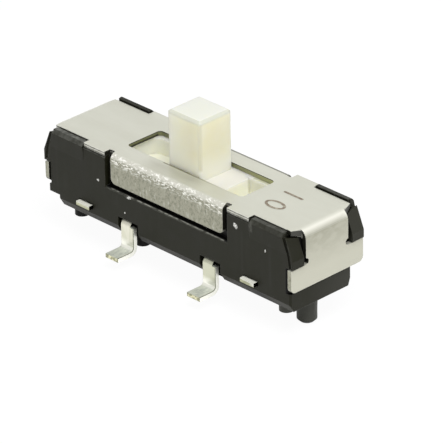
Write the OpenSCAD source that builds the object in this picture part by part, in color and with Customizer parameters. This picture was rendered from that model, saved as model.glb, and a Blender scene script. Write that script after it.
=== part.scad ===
// Three-position slide switch for surface mounting.
// X runs along the travel, Y across it and Z up from the board.
// The origin lies on the board, under the middle of the switch.

/* [Travel] */
// Travel of the slider to each side of its middle position
travel = 2.0; // [1.9:0.05:2.2]
// Gap left between the slider and the end of its cavity at full travel
stop_gap = 0.05; // [0.03:0.01:0.1]
// Gap left between the knob and the end of its slot at full travel
slot_end_gap = 0.01; // [0.01:0.01:0.05]

/* [Slider] */
// Length of the slider under the cover
slider_l = 6.2; // [6:0.05:6.4]
// Width of the slider under the cover
slider_w = 1.9; // [1.8:0.02:2]
// Height of the slider under the cover
slider_h = 2.09; // [2:0.01:2.2]
// Gap beside the slider, each side
slider_side_gap = 0.05; // [0.03:0.01:0.08]
// Gap over and under the slider
slider_lift_gap = 0.02; // [0.01:0.01:0.04]
// Length of the knob along the travel
knob_l = 1.56; // [1.3:0.02:1.6]
// Width of the knob
knob_w = 1.5; // [1.3:0.05:1.55]
// Height of the knob above the cover
knob_h = 2.04; // [1:0.02:3]
// Radius of the knob's upright edges
knob_r = 0.1; // [0.05:0.01:0.2]
// Bevel around the knob's top
knob_bevel = 0.09; // [0.02:0.01:0.12]
// Width of the rim around the hollow in the slider's top, at its ends
hollow_end_rim = 0.2; // [0.15:0.01:0.3]
// Width of that rim along its sides
hollow_side_rim = 0.32; // [0.25:0.01:0.35]
// Depth of the hollow
hollow_depth = 0.6; // [0.4:0.02:0.65]
// Corner radius of the hollow
hollow_r = 0.4; // [0.2:0.02:0.5]
// Length of the block that fills the hollow beside the knob
block_l = 0.97; // [0.6:0.01:1.4]
// Radius of that block's end corners
block_r = 0.15; // [0.05:0.01:0.3]
// Thickness of the runners along the slider's underside
runner_t = 0.2; // [0.15:0.01:0.22]
// Corner radius of the slider seen from above
slider_r = 0.25; // [0.1:0.01:0.4]

/* [Wiper] */
// Height of the space for the wiper, from the floor up to the slider
wiper_space = 0.7; // [0.65:0.01:0.75]
// Thickness of the wiper's sheet
wiper_t = 0.08; // [0.06:0.01:0.1]
// Length of the wiper's base plate
wiper_l = 2.6; // [2.4:0.05:3]
// Width of the wiper's base plate
wiper_w = 1.4; // [1.36:0.01:1.44]
// Width of a wiper finger
finger_w = 0.3; // [0.2:0.01:0.32]
// Length of a finger's turned-up tip, along the travel
finger_tip_l = 0.35; // [0.2:0.01:0.5]
// Rise of a finger's turned-up tip
finger_tip_rise = 0.15; // [0.1:0.01:0.2]
// Radius of the posts that hold the wiper
post_r = 0.17; // [0.1:0.01:0.2]
// Gap around those posts
post_gap = 0.02; // [0.01:0.01:0.04]
// Distance of each post from the middle
post_x = 0.9; // [0.7:0.05:1]

/* [Detent springs] */
// Thickness of a detent spring's leaf
detent_t = 0.08; // [0.06:0.01:0.1]
// Height of a detent spring's leaf
detent_h = 0.5; // [0.4:0.01:0.54]
// Length of a detent spring
detent_l = 2.2; // [2:0.05:2.6]
// Radius of a detent spring's nose
nose_r = 0.15; // [0.12:0.01:0.18]
// Depth to which a nose enters its notch
nose_depth = 0.1; // [0.06:0.01:0.12]
// Gap between a nose and its notch
notch_gap = 0.02; // [0.01:0.01:0.03]
// Gap above, below and at the ends of a spring in its pocket
pocket_gap = 0.05; // [0.03:0.01:0.08]
// Height of the pocket's bottom over the space for the wiper
pocket_rise = 0.1; // [0.08:0.01:0.14]
// Depth of the pocket into the slider's side
pocket_depth = 0.25; // [0.2:0.01:0.28]

/* [Housing] */
// Height of the housing's underside above the board
underside_z = 0.6; // [0.5:0.02:0.8]
// Thickness of the wall beside the cavity
side_wall = 0.44; // [0.4:0.01:0.5]
// Thickness of the wall at the cavity's end
end_wall = 0.65; // [0.55:0.01:0.75]
// How far the housing's side faces stand out past the cover's side flanges
side_proud = 0.04; // [0.02:0.01:0.08]
// How far the lower end faces stand out past the end walls
end_step = 0.12; // [0.08:0.01:0.18]
// Size of the upright corner bevels
corner_bevel = 0.07; // [0.03:0.01:0.12]
// Height of the slanting band along the underside
draft_h = 0.3; // [0.2:0.02:0.4]
// Inward slant of that band
draft_in = 0.18; // [0.08:0.01:0.2]
// Gap below the cover's side flanges
ledge_gap = 0.18; // [0.1:0.01:0.2]
// Bevel along the top edges that carry the cover
seat_bevel = 0.07; // [0.02:0.01:0.1]
// Height of the cheeks beside the cover above its seat
cheek_rise = 0.12; // [0.08:0.01:0.16]
// How much higher the cheeks on the far side are
far_cheek_extra = 0.11; // [0:0.01:0.14]
// How far the cheeks stand out past the side faces at their tops
cheek_proud = 0.04; // [0.01:0.01:0.06]
// Height over which the cheeks run out into the side faces
cheek_drop = 0.7; // [0.5:0.05:0.75]
// Bevel over the cheeks
cheek_bevel = 0.12; // [0.06:0.01:0.16]
// Length of the cheeks along their tops
cheek_l = 1.5; // [1.4:0.01:1.52]
// Gap between the cheeks and the cover
cheek_gap = 0.05; // [0.02:0.01:0.08]
// Width of the groove between a cheek and its corner hook
groove_w = 0.12; // [0.08:0.01:0.16]
// Depth of that groove
groove_depth = 0.05; // [0.03:0.01:0.08]
// Width of the notch behind the groove's upper end
groove_top_w = 0.12; // [0.08:0.01:0.14]
// Depth of that notch below the cover's seat
groove_top_depth = 0.15; // [0.08:0.01:0.25]
// Thickness of the web left between the groove and that notch
groove_web = 0.12; // [0.1:0.01:0.16]
// Height of the groove's steeper foot
groove_foot_h = 0.45; // [0.3:0.01:0.45]
// How far that foot leans in
groove_foot_lean = 0.07; // [0.04:0.01:0.1]
// How far the corner hooks stand out past the cover's end bands
hook_out = 0.06; // [0.04:0.01:0.12]
// Length of a hook from the middle of its groove's foot to the face of its nose
hook_l = 0.12; // [0.1:0.01:0.2]
// Height of the upright nose of a hook
hook_nose_h = 0.3; // [0.2:0.01:0.4]
// How far a hook leans in from its nose to its top
hook_lean = 0.32; // [0.3:0.01:0.37]
// Gap between a hook and the neck of the cover beside it
hook_side_gap = 0.15; // [0.05:0.01:0.2]
// Fall of a hook's top from the side face inward
hook_slant = 0.13; // [0.1:0.01:0.25]
// How much lower the hooks and the arms of the band below them end at the left
left_hook_drop = 0.1; // [0:0.01:0.15]
// Gap between a hook and the end band below it
hook_gap = 0.05; // [0.02:0.01:0.06]
// Bevel along the lower edges of the ends
end_bevel = 0.03; // [0.02:0.01:0.1]

/* [Feet and pegs] */
// Distance between the locating pegs, along the switch
peg_pitch = 10.42; // [10:0.02:10.6]
// How far the right peg lies to the near side of the middle line, and the left peg to the far side
peg_shift = 0.2; // [0:0.02:0.3]
// Radius of a locating peg
peg_r = 0.35; // [0.3:0.005:0.4]
// Length of a locating peg below the board
peg_depth = 0.45; // [0.3:0.05:0.9]
// Bevel around a peg's end
peg_bevel = 0.1; // [0.04:0.01:0.15]
// How much a peg flares out on every side, towards the housing
root_flare = 0.03; // [0.01:0.005:0.04]
// Height above the board at which that flare starts
root_z = 0; // [0:0.01:0.14]
// Radius of a standoff
standoff_r = 0.26; // [0.2:0.01:0.28]
// Gap between the standoffs and the board
standoff_gap = 0.15; // [0.05:0.01:0.2]
// Distance of the corner standoffs from the centre, along the switch
standoff_x = 5.0; // [4.9:0.02:5.1]
// Distance of the corner standoffs from the middle line
standoff_y = 0.94; // [0.9:0.01:1]
// Distance of the two middle standoffs from the centre, along the switch
mid_standoff_x = 1.88; // [1.8:0.02:2]
// Distance of the two middle standoffs from the middle line
mid_standoff_y = 1.0; // [0.95:0.01:1.05]
// Start of the cut-away lower corners from the middle
cut_corner_x = 5.32; // [5.26:0.01:5.4]
// Distance of the cut-away lower corners from the middle line
cut_corner_y = 1.14; // [1.1:0.01:1.2]
// Inward slant of the end beside the cut-away corner at the right
cut_slant = 0.1; // [0.06:0.01:0.15]
// Height of the cut-away corner at the left
left_cut_h = 0.43; // [0.3:0.01:0.6]
// How far the end is set back over that corner
left_setback = 0.1; // [0.05:0.01:0.11]

/* [Cover] */
// Thickness of the cover's sheet
sheet_t = 0.17; // [0.15:0.01:0.2]
// Gap between the knob and the sides of its slot
slot_side_gap = 0.04; // [0.03:0.005:0.08]
// Corner radius of the slot
slot_r = 0.15; // [0.05:0.01:0.25]
// Length of the side flanges
flange_l = 5.44; // [5.2:0.02:5.6]
// Depth of the side flanges below the top of the cover
flange_drop = 1.11; // [0.8:0.01:1.2]
// Outside radius of the bends to the side flanges
flange_bend_r = 0.25; // [0.2:0.01:0.3]
// Radius of the side flanges' lower corners
flange_corner_r = 0.2; // [0.1:0.01:0.4]
// Gap between the housing and the cover's flanges and bands
flange_gap = 0.02; // [0.01:0.01:0.04]
// Width of the relief notches beside the side flanges
relief_w = 0.25; // [0.2:0.01:0.3]
// Depth of the relief notches past the start of the bend
relief_depth = 0.02; // [0:0.01:0.1]
// End of the full-width lips from the middle
lip_x1 = 4.0; // [3.9:0.01:4.02]
// How far the lips stay behind the housing's side faces
lip_back = 0.01; // [0:0.01:0.04]
// Width of the top between the cheeks
plate_w = 2.77; // [2.7:0.01:2.8]
// How far the top keeps that width past the start of its end bends
plate_over = 0.1; // [0:0.01:0.15]
// Outside radius of the bends to the end flanges
end_bend_r = 0.4; // [0.3:0.01:0.45]
// Width of the end flanges' necks
neck_w = 1.98; // [1.8:0.02:2.1]
// How far the end bands reach past the housing's side faces
band_proud = 0.02; // [0:0.01:0.04]
// Height of the end bands
band_h = 0.85; // [0.7:0.01:0.9]
// Height of the end bands above the housing's underside
band_rise = 0.76; // [0.7:0.01:0.85]
// Radius of the end bands' lower corners
band_r = 0.2; // [0.1:0.01:0.3]
// Radius of the round reliefs where the necks meet the bands
band_relief_r = 0.12; // [0.06:0.01:0.14]

/* [Contacts] */
// Thickness of the contact strips
strip_t = 0.15; // [0.12:0.01:0.18]
// Height of the contact strips above the housing's underside
strip_rise = 0.45; // [0.4:0.01:0.5]
// Distance between neighbouring terminals
terminal_pitch = 4; // [3.9:0.05:4.1]
// Width of a terminal
terminal_w = 0.62; // [0.5:0.01:0.64]
// How far the terminals lie to the right of their even places about the middle
terminal_shift = 0.05; // [0:0.01:0.06]
// Width of a terminal's neck
neck_strip_w = 0.45; // [0.36:0.01:0.48]
// Height of the shoulder below the neck, above the housing's underside
shoulder_rise = 0.4; // [0.35:0.01:0.42]
// How far the terminals' blades stay behind the housing's side faces
blade_back = 0.02; // [0.01:0.01:0.05]
// Outside radius of the terminals' upper bends
upper_bend_r = 0.25; // [0.2:0.01:0.28]
// Outside radius of the terminals' lower bends
lower_bend_r = 0.3; // [0.22:0.01:0.34]
// Distance between the ends of opposite terminal feet
foot_span = 4.8; // [4.6:0.05:5.2]
// Distance between the tie stubs along one side
tie_pitch = 8.02; // [7.9:0.02:8.1]
// Width of a tie stub
tie_w = 0.65; // [0.5:0.01:0.7]
// How far the tie stubs stand out past the side faces
tie_out = 0.14; // [0.05:0.01:0.2]
// Width of a contact track
track_w = 0.35; // [0.3:0.01:0.38]
// Distance between neighbouring contact tracks
track_pitch = 0.55; // [0.52:0.01:0.58]
// Length of a switched contact's pad
pad_l = 1.2; // [1:0.05:1.4]
// Width of the buried arms that link pads, terminals and stubs
arm_w = 0.25; // [0.2:0.01:0.28]
// Cover of moulding left outside a buried arm
arm_cover = 0.12; // [0.08:0.01:0.16]
// Room left of a terminal in its notch
notch_left = 0.12; // [0.08:0.01:0.2]
// Room right of a terminal in its notch
notch_right = 0.25; // [0.2:0.01:0.28]
// Height of the terminal notches above the housing's underside
notch_h = 0.65; // [0.62:0.01:0.7]
// Gap over and beside a tie stub where it leaves the housing
tie_gap = 0.07; // [0.03:0.01:0.1]
// Depth of that gap
tie_gap_depth = 0.06; // [0.03:0.01:0.1]

/* [Hidden] */
$fn = 64;
past = 0.5; // how far a cut runs out past the face that it opens

// Along X, from the middle outward
cavity_x = slider_l / 2 + travel + stop_gap;
wall_x = cavity_x + end_wall;
end_x = wall_x + end_step;
band_in_x = wall_x + flange_gap;
band_out_x = band_in_x + sheet_t;
hook_x = band_out_x + hook_out;
flange_x = flange_l / 2;
lip_x0 = flange_x + relief_w;
bend_x = band_out_x - end_bend_r;
end_top_r = end_bend_r - sheet_t + flange_gap;
cheek_x0 = lip_x1 + cheek_gap;
cheek_x1 = cheek_x0 + cheek_l;
slot_x = knob_l / 2 + travel + slot_end_gap;
hollow_x = slider_l / 2 - hollow_end_rim;
terminal_x = terminal_pitch / 2;
terminal_left = terminal_shift - terminal_w / 2; // its left edge, from that even place
terminal_right = terminal_shift + terminal_w / 2;

// Across Y, from the middle line outward
cavity_y = slider_w / 2 + slider_side_gap;
wall_y = cavity_y + side_wall;
flange_in_y = wall_y + flange_gap;
flange_out_y = flange_in_y + sheet_t;
side_y = flange_out_y + side_proud;
lip_y = side_y - lip_back;
band_y = side_y + band_proud;
bend_y = flange_out_y - flange_bend_r;
plate_y = plate_w / 2;
wall_bevel = wall_y - bend_y;
cheek_y0 = plate_y + cheek_gap;
cheek_y1 = side_y + cheek_proud;
neck_y = neck_w / 2;
hook_y = neck_y + hook_side_gap;
hollow_y = slider_w / 2 - hollow_side_rim;
blade_y = side_y - blade_back;
arm_y = wall_y - arm_cover - arm_w;

// Up Z, from the board
strip_z = underside_z + strip_rise;
floor_z = strip_z + strip_t;
slider_z = floor_z + slider_lift_gap;
slider_top_z = slider_z + slider_h;
seat_z = slider_top_z + slider_lift_gap;
top_z = seat_z + sheet_t;
knob_z = top_z + knob_h;
flange_z = top_z - flange_drop;
ledge_z = flange_z - ledge_gap;
band_z = underside_z + band_rise;
band_top_z = band_z + band_h;
hook_z = band_top_z + hook_gap;
cheek_z = seat_z + cheek_rise;
cheek_low_z = cheek_z - cheek_drop;
web_z = floor_z + wiper_space;
pocket_z = web_z + pocket_rise;
detent_z = pocket_z + pocket_gap;
hollow_z = slider_top_z - hollow_depth;
nose_y = cavity_y + nose_depth - nose_r;

// A box given by its lowest and highest corners
module box(low, high) {
    translate(low) cube(high - low);
}

// A box with round upright edges
module round_box(low, high, r) {
    box([low.x + r, low.y, low.z], [high.x - r, high.y, high.z]);
    box([low.x, low.y + r, low.z], [high.x, high.y - r, high.z]);
    for (x = [low.x + r, high.x - r], y = [low.y + r, high.y - r])
        translate([x, y, low.z]) cylinder(r = r, h = high.z - low.z);
}

// An outline drawn in X and Z, as long as y0 to y1
module along_y(y0, y1) {
    translate([0, y1, 0]) rotate([90, 0, 0]) linear_extrude(y1 - y0) children();
}

// An outline drawn in Y and Z, as long as x0 to x1
module along_x(x0, x1) {
    translate([x0, 0, 0]) rotate([90, 0, 90]) linear_extrude(x1 - x0) children();
}

// A quarter ring around the origin, for a bent sheet; quarter 0 is the one up and right
module quarter_ring(r, t, quarter = 0) {
    rotate(90 * quarter) intersection() {
        difference() {
            circle(r);
            circle(r - t);
        }
        square(r);
    }
}

// A flat strip seen on edge, from point a to point b, with round ends
module strip(a, b, t) {
    for (p = [a, b]) translate(p) circle(t / 2);
    translate(a) rotate(atan2(b.y - a.y, b.x - a.x)) translate([0, -t / 2]) square([norm(b - a), t]);
}

module mirror_x() {
    children();
    mirror([1, 0, 0]) children();
}

module mirror_y() {
    children();
    mirror([0, 1, 0]) children();
}

// ---- Housing ----

// Outline across the housing, up to the side ledges or up to the cover's seat
module housing_section(shoulder) {
    half = [
        [side_y - draft_in, underside_z],
        [side_y, underside_z + draft_h],
        if (shoulder) [side_y, seat_z - seat_bevel],
        if (shoulder) [side_y - seat_bevel, seat_z],
        if (!shoulder) [side_y, ledge_z - seat_bevel],
        if (!shoulder) [side_y - seat_bevel, ledge_z],
        if (!shoulder) [wall_y, ledge_z],
        if (!shoulder) [wall_y, seat_z - wall_bevel],
        if (!shoulder) [wall_y - wall_bevel, seat_z],
    ];
    last = len(half) - 1;
    polygon([each half, for (i = [0:last]) [-half[last - i].x, half[last - i].y]]);
}

// Plan of the housing, with bevelled corners
module housing_plan(x) {
    y = side_y;
    b = corner_bevel;
    polygon([
        [-x, -y + b], [-x + b, -y], [x - b, -y], [x, -y + b],
        [x, y - b], [x - b, y], [-x + b, y], [-x, y - b],
    ]);
}

module housing_body() {
    intersection() {
        union() {
            along_x(-end_x, end_x) housing_section(shoulder = false);
            mirror_x() along_x(lip_x0, end_x) housing_section(shoulder = true);
        }
        union() {
            intersection() {
                translate([0, 0, underside_z]) linear_extrude(seat_z - underside_z) housing_plan(wall_x);
                along_y(-side_y, side_y) upper_end_profile();
            }
            along_y(-side_y, side_y) lower_end_profile();
        }
        translate([0, 0, underside_z]) linear_extrude(seat_z - underside_z) housing_plan(end_x);
    }
}

// The upper ends, rounded so that they clear the cover's end bends
module upper_end_profile() {
    r = end_top_r;
    mirror_x() {
        translate([0, underside_z]) square([wall_x, seat_z - r - underside_z]);
        translate([0, underside_z]) square([wall_x - r, seat_z - underside_z]);
        translate([wall_x - r, seat_z - r]) circle(r);
    }
}

// The lower ends, with a small bevel along the underside
module lower_end_profile() {
    mirror_x() polygon([
        [0, underside_z], [end_x - end_bevel, underside_z], [end_x, underside_z + end_bevel],
        [end_x, band_z - hook_gap], [0, band_z - hook_gap],
    ]);
}

// Middle line of the groove between a cheek and its hook, in X and Z, from the top down
groove_top = [cheek_x1 + groove_w / 2, cheek_z];
groove_foot = [hook_x - hook_l, hook_z];
groove_knee = [groove_foot.x - groove_foot_lean, hook_z + groove_foot_h];

module groove() {
    face_y = side_y - groove_depth;
    along_y(face_y, side_y + past) {
        strip(groove_top, groove_knee, groove_w);
        strip(groove_knee, groove_foot, groove_w);
    }
    box([cheek_x1, plate_y - cheek_gap, seat_z - groove_top_depth],
        [cheek_x1 + groove_top_w, face_y - groove_web, cheek_z + past]);
}

// A raised pad beside the cover; its top is bevelled and its end follows the groove
module cheek(z) {
    drop = cheek_drop / (cheek_z - groove_knee.y);
    rise = (z - cheek_z) / (cheek_z - groove_knee.y);
    intersection() {
        along_y(cheek_y0, cheek_y1) polygon([
            [cheek_x0, cheek_low_z], groove_top + drop * (groove_knee - groove_top),
            groove_top - rise * (groove_knee - groove_top), [cheek_x0, z],
        ]);
        along_x(cheek_x0, hook_x) polygon([
            [cheek_y0, cheek_low_z], [side_y, cheek_low_z], [cheek_y1, z - cheek_bevel],
            [cheek_y1 - cheek_bevel, z], [cheek_y0, z],
        ]);
    }
}

// A corner hook that holds down one arm of an end band, from its lower face at z up
module hook(z) {
    inner_x = wall_x - end_wall / 2;
    along_y(hook_y, side_y) polygon([
        [inner_x, z], [hook_x, z], [hook_x, hook_z + hook_nose_h],
        [hook_x - hook_lean, seat_z], [inner_x, seat_z],
    ]);
}

// What is cut away over the slope of a hook's top
module hook_slope() {
    along_x(bend_x, hook_x + past) polygon([
        [hook_y, seat_z - hook_slant], [side_y, seat_z], [side_y + past, seat_z],
        [side_y + past, cheek_z + past], [hook_y, cheek_z + past],
    ]);
}

// A locating peg: its straight part fits the board's hole, and its flared root stays above the board
module peg() {
    low_z = -peg_depth + peg_bevel;
    translate([0, 0, root_z]) cylinder(r1 = peg_r, r2 = peg_r + root_flare, h = underside_z - root_z);
    translate([0, 0, low_z]) cylinder(r = peg_r, h = root_z - low_z);
    translate([0, 0, -peg_depth]) cylinder(r1 = peg_r - peg_bevel, r2 = peg_r, h = peg_bevel);
}

module standoff() {
    translate([0, 0, standoff_gap]) cylinder(r = standoff_r, h = underside_z - standoff_gap);
}

// The room around one terminal, open below and at the side face
module terminal_notch(x) {
    left = x + terminal_left - notch_left;
    right = x + terminal_right + notch_right;
    inner_y = blade_y - upper_bend_r;
    mirror_y() box([left, inner_y, -past], [right, side_y + past, underside_z + notch_h]);
}

// The gap around one tie stub in the side face
module tie_pocket(x) {
    mirror_y() box([x - tie_w / 2, side_y - tie_gap_depth, strip_z],
        [x + tie_w / 2 + tie_gap, side_y + past, floor_z + tie_gap]);
}

// The corners of the underside that are cut away, one at each end
module cut_corners() {
    low_y = cut_corner_y - cut_slant;
    along_x(cut_corner_x, end_x + past) polygon([
        [low_y, underside_z - past], [low_y, underside_z],
        [cut_corner_y, underside_z + draft_h], [cut_corner_y, band_z - hook_gap],
        [side_y + past, band_z - hook_gap], [side_y + past, underside_z - past],
    ]);
    box([-end_x - past, -side_y - past, underside_z - past],
        [-cut_corner_x, -cut_corner_y, underside_z + left_cut_h]);
    box([-end_x - past, -side_y - past, underside_z],
        [-end_x + left_setback, -cut_corner_y, band_z - hook_gap]);
}

module housing() {
    color("#3b3b38") difference() {
        union() {
            housing_body();
            mirror_x() {
                cheek(cheek_z + far_cheek_extra);
                mirror([0, 1, 0]) cheek(cheek_z);
            }
            mirror_y() {
                hook(hook_z);
                mirror([1, 0, 0]) hook(hook_z - left_hook_drop);
            }
            mirror_x() mirror_y() translate([standoff_x, standoff_y, 0]) standoff();
            for (side = [-1, 1]) {
                translate([side * peg_pitch / 2, -side * peg_shift, 0]) peg();
                translate([side * mid_standoff_x, side * mid_standoff_y, 0]) standoff();
            }
        }
        box([-cavity_x, -cavity_y, floor_z], [cavity_x, cavity_y, seat_z + past]);
        for (x = [-terminal_x, terminal_x]) terminal_notch(x);
        for (x = [-tie_pitch / 2, tie_pitch / 2]) tie_pocket(x);
        mirror_x() mirror_y() {
            groove();
            hook_slope();
        }
        cut_corners();
        for (x = [-travel, 0, travel]) mirror_y()
            translate([x, nose_y, detent_z - pocket_gap])
                cylinder(r = nose_r + notch_gap, h = seat_z - detent_z + pocket_gap + past);
        contact_left_shape();
        contact_middle_shape();
        contact_right_shape();
        contact_common_shape();
    }
}

// ---- Cover ----

// The bend and the neck of one end flange, seen from the side
module end_flange_profile() {
    translate([bend_x, top_z - end_bend_r]) quarter_ring(end_bend_r, sheet_t);
    translate([band_in_x, band_z]) square([sheet_t, top_z - end_bend_r - band_z]);
}

// One end flange: a bent neck that widens into a band, whose arms reach up to arm_top
module end_flange(arm_top) {
    difference() {
        along_y(-band_y, band_y) end_flange_profile();
        mirror_y() {
            translate([0, 0, arm_top]) linear_extrude(top_z - arm_top + past) polygon([
                [bend_x - past, plate_y], [bend_x + plate_over, plate_y], [band_in_x, neck_y],
                [hook_x, neck_y], [hook_x, band_y + past], [bend_x - past, band_y + past],
            ]);
            translate([band_in_x - past, neck_y, arm_top + band_relief_r]) rotate([0, 90, 0])
                cylinder(r = band_relief_r, h = sheet_t + 2 * past);
            translate([band_in_x - past, band_y - band_r, band_z]) rotate([90, 0, 90])
                linear_extrude(sheet_t + 2 * past) difference() {
                    translate([0, -past]) square([band_r + past, band_r + past]);
                    translate([0, band_r]) circle(band_r);
                }
        }
    }
}

// A flat outline with round lower corners, hung from a bend along the side
module side_flange() {
    translate([-flange_x, bend_y, top_z - flange_bend_r]) rotate([90, 0, 90])
        linear_extrude(flange_l) quarter_ring(flange_bend_r, sheet_t);
    r = flange_corner_r;
    along_y(flange_in_y, flange_out_y) {
        translate([-flange_x, flange_z + r]) square([flange_l, top_z - flange_bend_r - flange_z - r]);
        translate([-flange_x + r, flange_z]) square([flange_l - 2 * r, r]);
        for (side = [-1, 1]) translate([side * (flange_x - r), flange_z + r]) circle(r);
    }
}

module cover() {
    color("#d2d1c7") difference() {
        union() {
            box([-flange_x, -bend_y, seat_z], [flange_x, bend_y, top_z]);
            mirror_x() {
                box([flange_x, -plate_y, seat_z], [bend_x, plate_y, top_z]);
                box([lip_x0, -lip_y, seat_z], [lip_x1, lip_y, top_z]);
            }
            end_flange(band_top_z);
            mirror([1, 0, 0]) end_flange(band_top_z - left_hook_drop);
            mirror_y() side_flange();
        }
        round_box([-slot_x, -knob_w / 2 - slot_side_gap, seat_z - past],
            [slot_x, knob_w / 2 + slot_side_gap, top_z + past], slot_r);
        mirror_x() mirror_y() {
            notch_y = bend_y - relief_depth + relief_w / 2;
            translate([flange_x + relief_w / 2, notch_y, seat_z - past])
                cylinder(r = relief_w / 2, h = sheet_t + 2 * past);
            box([flange_x, notch_y, seat_z - past], [lip_x0, side_y + past, top_z + past]);
        }
    }
}

// ---- Slider ----

module knob() {
    low = slider_top_z - hollow_depth;
    b = knob_bevel;
    intersection() {
        round_box([-knob_l / 2, -knob_w / 2, low], [knob_l / 2, knob_w / 2, knob_z], knob_r);
        along_y(-knob_w, knob_w) polygon([
            [-knob_l / 2, low], [knob_l / 2, low], [knob_l / 2, knob_z - b],
            [knob_l / 2 - b, knob_z], [-knob_l / 2 + b, knob_z], [-knob_l / 2, knob_z - b],
        ]);
        along_x(-knob_l, knob_l) polygon([
            [-knob_w / 2, low], [knob_w / 2, low], [knob_w / 2, knob_z - b],
            [knob_w / 2 - b, knob_z], [-knob_w / 2 + b, knob_z], [-knob_w / 2, knob_z - b],
        ]);
    }
}

// The pocket of one detent spring, in the slider's side
module detent_pocket() {
    x = detent_l / 2 + pocket_gap;
    box([-x, slider_w / 2 - pocket_depth, pocket_z],
        [x, slider_w / 2 + past, detent_z + detent_h + pocket_gap]);
}

module slider() {
    half_l = slider_l / 2;
    half_w = slider_w / 2;
    color("#e6e2ce") {
        difference() {
            round_box([-half_l, -half_w, slider_z], [half_l, half_w, slider_top_z], slider_r);
            round_box([-hollow_x, -hollow_y, hollow_z],
                [hollow_x, hollow_y, slider_top_z + past], hollow_r);
            box([-half_l - past, -half_w + runner_t, slider_z - past],
                [half_l + past, half_w - runner_t, web_z]);
            mirror_y() detent_pocket();
        }
        knob();
        round_box([0, -hollow_y, hollow_z], [knob_l / 2 + block_l, hollow_y, slider_top_z], block_r);
        for (x = [-post_x, post_x])
            translate([x, 0, web_z - 2 * wiper_t]) cylinder(r = post_r, h = 2 * wiper_t);
    }
}

// ---- Wiper: one bent sheet with three fingers that rest on the tracks ----

module wiper() {
    base_z = web_z - wiper_t;
    contact_z = floor_z + wiper_t / 2;
    root = [-wiper_l / 2, base_z - wiper_t];
    tip = [finger_tip_l, contact_z + finger_tip_rise];
    color("#b98a4e") {
        difference() {
            box([-wiper_l / 2, -wiper_w / 2, base_z], [wiper_l / 2, wiper_w / 2, web_z]);
            for (x = [-post_x, post_x])
                translate([x, 0, base_z - past]) cylinder(r = post_r + post_gap, h = wiper_t + 2 * past);
        }
        for (y = [-track_pitch, 0, track_pitch]) along_y(y - finger_w / 2, y + finger_w / 2) {
            strip([-wiper_l / 2, base_z + wiper_t / 2], root, wiper_t);
            strip(root, [0, contact_z], wiper_t);
            strip([0, contact_z], tip, wiper_t);
        }
    }
}

// ---- Detent springs: bowed leaves whose noses drop into the notches of the cavity's walls ----

module detent_spring() {
    seat_y = slider_w / 2 - pocket_depth + detent_t / 2;
    end_x = detent_l / 2 - detent_t / 2;
    leaf_y = nose_y + nose_r - detent_t / 2;
    color("#c9c4b4") translate([0, 0, detent_z]) linear_extrude(detent_h) {
        for (side = [-1, 1]) {
            strip([side * end_x, seat_y], [side * nose_r, nose_y - nose_r / 2], detent_t);
            strip([side * nose_r, nose_y - nose_r / 2], [0, leaf_y], detent_t);
        }
    }
}

module detent_spring_far() {
    detent_spring();
}

module detent_spring_near() {
    mirror([0, 1, 0]) detent_spring();
}

// ---- Contacts: stamped strips moulded into the floor ----

// A flat piece of strip, given in plan
module strip_plate(x0, x1, y0, y1) {
    box([x0, y0, strip_z], [x1, y1, floor_z]);
}

// The bent part of one terminal, seen along X
module terminal_profile(inner_y) {
    up_y = blade_y - upper_bend_r;
    low_y = blade_y - strip_t + lower_bend_r;
    translate([inner_y, strip_z]) square([up_y - inner_y, strip_t]);
    translate([up_y, floor_z - upper_bend_r]) quarter_ring(upper_bend_r, strip_t);
    translate([blade_y - strip_t, lower_bend_r])
        square([strip_t, floor_z - upper_bend_r - lower_bend_r]);
    translate([low_y, lower_bend_r]) quarter_ring(lower_bend_r, strip_t, 2);
    translate([low_y, 0]) square([foot_span / 2 - low_y, strip_t]);
}

// One terminal on the far side, with a shoulder on its right where the neck widens
module terminal(x, inner_y) {
    left = x + terminal_left;
    difference() {
        along_x(left, x + terminal_right) terminal_profile(inner_y);
        box([left + neck_strip_w, 0, underside_z + shoulder_rise],
            [x + terminal_right + past, foot_span, floor_z + past]);
    }
}

// The buried arm from a terminal out to its tie stub, on the far side; side is -1 for left
module tie_arm(side) {
    neck_x = side * terminal_x;
    stub_x = side * tie_pitch / 2;
    far_x = stub_x + side * tie_w / 2;
    strip_plate(min(neck_x, far_x), max(neck_x, far_x), arm_y, arm_y + arm_w);
    strip_plate(stub_x - tie_w / 2, stub_x + tie_w / 2, arm_y, side_y + tie_out);
}

// A switched contact with its pad at the left or right end of its track, on the far side
module end_contact(side) {
    x = side * terminal_x;
    y = track_pitch + track_w / 2;
    strip_plate(x - pad_l / 2, x + pad_l / 2, y - track_w, y);
    terminal(x, y);
    tie_arm(side);
}

module contact_left_shape() {
    mirror([0, 1, 0]) end_contact(-1);
}

module contact_right_shape() {
    mirror([0, 1, 0]) end_contact(1);
}

// The middle contact's pad lies on the far track, and its arm passes outside that track
module contact_middle_shape() {
    y = track_pitch + track_w / 2;
    strip_plate(-pad_l / 2, pad_l / 2, y - track_w, y);
    strip_plate(-pad_l / 2, -pad_l / 2 + arm_w, y, arm_y + arm_w);
    strip_plate(-terminal_x, -pad_l / 2, arm_y, arm_y + arm_w);
    terminal(-terminal_x, arm_y);
    tie_arm(-1);
}

// The common contact runs under the middle finger at every position
module contact_common_shape() {
    end = terminal_x + pad_l / 2;
    strip_plate(-end, end, -track_w / 2, track_w / 2);
    terminal(terminal_x, track_w / 2);
    tie_arm(1);
}

module contact_left() {
    color("#d8d7c4") contact_left_shape();
}

module contact_middle() {
    color("#d8d7c4") contact_middle_shape();
}

module contact_right() {
    color("#d8d7c4") contact_right_shape();
}

module contact_common() {
    color("#d8d7c4") contact_common_shape();
}

housing();
cover();
slider();
wiper();
detent_spring_near();
detent_spring_far();
contact_left();
contact_middle();
contact_right();
contact_common();
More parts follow.
